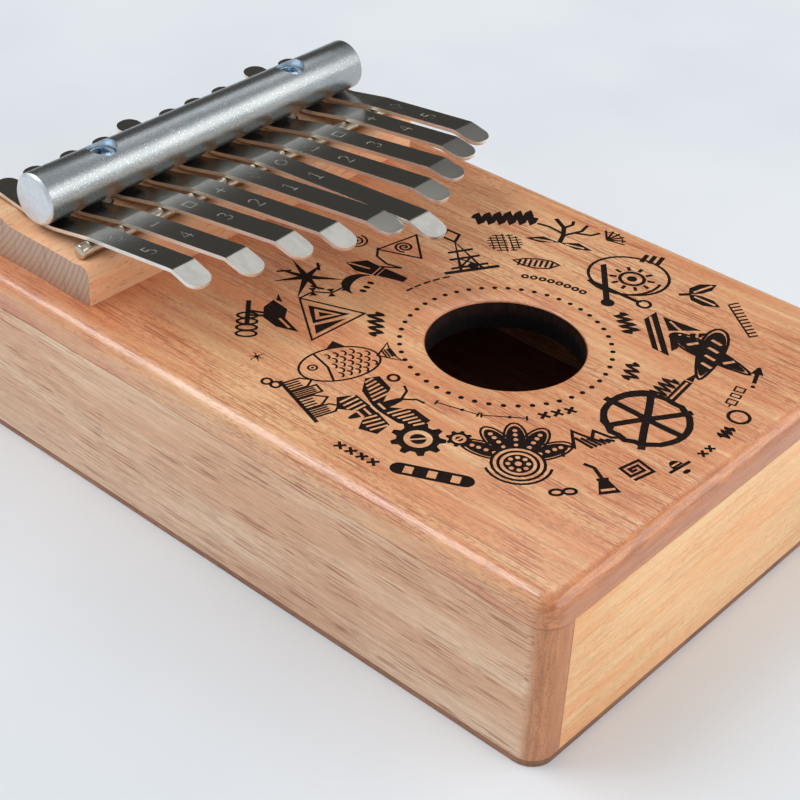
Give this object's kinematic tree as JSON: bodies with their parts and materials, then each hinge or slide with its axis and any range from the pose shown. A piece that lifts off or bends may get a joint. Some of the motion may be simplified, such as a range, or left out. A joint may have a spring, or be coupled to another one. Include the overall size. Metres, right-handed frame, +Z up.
{
  "type": "box mbira",
  "caption": "Wooden box mbira with a round sound hole, a bridge block, a steel rod, a round aluminium pressure bar and sprung steel tines plucked with the thumbs.",
  "frame": {"origin": "under the middle of the box, on the surface it lies on", "axes": "+Z up, +Y along the box from the sound hole end to the bridge end, +X across the tines to the player's right"},
  "size_m": [0.105, 0.165, 0.0566],
  "materials": {
    "mahogany_lid": "satin lacquered mahogany with open pores, burned line drawings round the sound hole",
    "mahogany_side": "satin mahogany with long brown pores",
    "pale_end_panel": "pale straight-grained wood, satin",
    "dark_back": "dark thin plywood",
    "beech_block": "plain beech with greyish end grain",
    "brace_wood": "unfinished softwood",
    "rod_steel": "polished steel rod",
    "bar_aluminium": "satin blasted aluminium, bright chamfers",
    "screw_zinc": "blue zinc plating",
    "tine_steel": "smooth spring steel with polished edges"
  },
  "bodies": {
    "box": {"soundboard": "mahogany_lid", "back_plate": "dark_back", "left_side": "mahogany_side", "right_side": "mahogany_side", "front_panel": "pale_end_panel", "rear_panel": "pale_end_panel", "bridge_block": "beech_block", "bridge_brace": "brace_wood", "front_rod": "rod_steel", "pressure_bar": "bar_aluminium", "bar_screw_left": "screw_zinc", "bar_screw_right": "screw_zinc"},
    "tine_1": {"tine_1": "tine_steel"},
    "tine_2": {"tine_2": "tine_steel"},
    "tine_3": {"tine_3": "tine_steel"},
    "tine_4": {"tine_4": "tine_steel"},
    "tine_5": {"tine_5": "tine_steel"},
    "tine_6": {"tine_6": "tine_steel"},
    "tine_7": {"tine_7": "tine_steel"},
    "tine_8": {"tine_8": "tine_steel"},
    "tine_9": {"tine_9": "tine_steel"},
    "tine_10": {"tine_10": "tine_steel"}
  },
  "joints": [
    {"name": "pluck_1", "type": "hinge", "parent": "box", "child": "tine_1", "pos_m": [0, 0.0374, 0.0455], "axis": [1, 0, 0], "range_deg": [-0.6, 1.25], "stiffness_Nm_per_rad": 4.7},
    {"name": "pluck_2", "type": "hinge", "parent": "box", "child": "tine_2", "pos_m": [0, 0.0374, 0.0455], "axis": [1, 0, 0], "range_deg": [-0.6, 1.25], "stiffness_Nm_per_rad": 4.2},
    {"name": "pluck_3", "type": "hinge", "parent": "box", "child": "tine_3", "pos_m": [0, 0.0374, 0.0455], "axis": [1, 0, 0], "range_deg": [-0.6, 1.25], "stiffness_Nm_per_rad": 4},
    {"name": "pluck_4", "type": "hinge", "parent": "box", "child": "tine_4", "pos_m": [0, 0.0374, 0.0455], "axis": [1, 0, 0], "range_deg": [-0.6, 1.25], "stiffness_Nm_per_rad": 3.6},
    {"name": "pluck_5", "type": "hinge", "parent": "box", "child": "tine_5", "pos_m": [0, 0.0374, 0.0455], "axis": [1, 0, 0], "range_deg": [-0.6, 1.25], "stiffness_Nm_per_rad": 3.4},
    {"name": "pluck_6", "type": "hinge", "parent": "box", "child": "tine_6", "pos_m": [0, 0.0374, 0.0455], "axis": [1, 0, 0], "range_deg": [-0.6, 1.25], "stiffness_Nm_per_rad": 3},
    {"name": "pluck_7", "type": "hinge", "parent": "box", "child": "tine_7", "pos_m": [0, 0.0374, 0.0455], "axis": [1, 0, 0], "range_deg": [-0.6, 1.25], "stiffness_Nm_per_rad": 3.5},
    {"name": "pluck_8", "type": "hinge", "parent": "box", "child": "tine_8", "pos_m": [0, 0.0374, 0.0455], "axis": [1, 0, 0], "range_deg": [-0.6, 1.25], "stiffness_Nm_per_rad": 3.8},
    {"name": "pluck_9", "type": "hinge", "parent": "box", "child": "tine_9", "pos_m": [0, 0.0374, 0.0455], "axis": [1, 0, 0], "range_deg": [-0.6, 1.25], "stiffness_Nm_per_rad": 4.3},
    {"name": "pluck_10", "type": "hinge", "parent": "box", "child": "tine_10", "pos_m": [0, 0.0374, 0.0455], "axis": [1, 0, 0], "range_deg": [-0.6, 1.25], "stiffness_Nm_per_rad": 4.7}
  ]
}
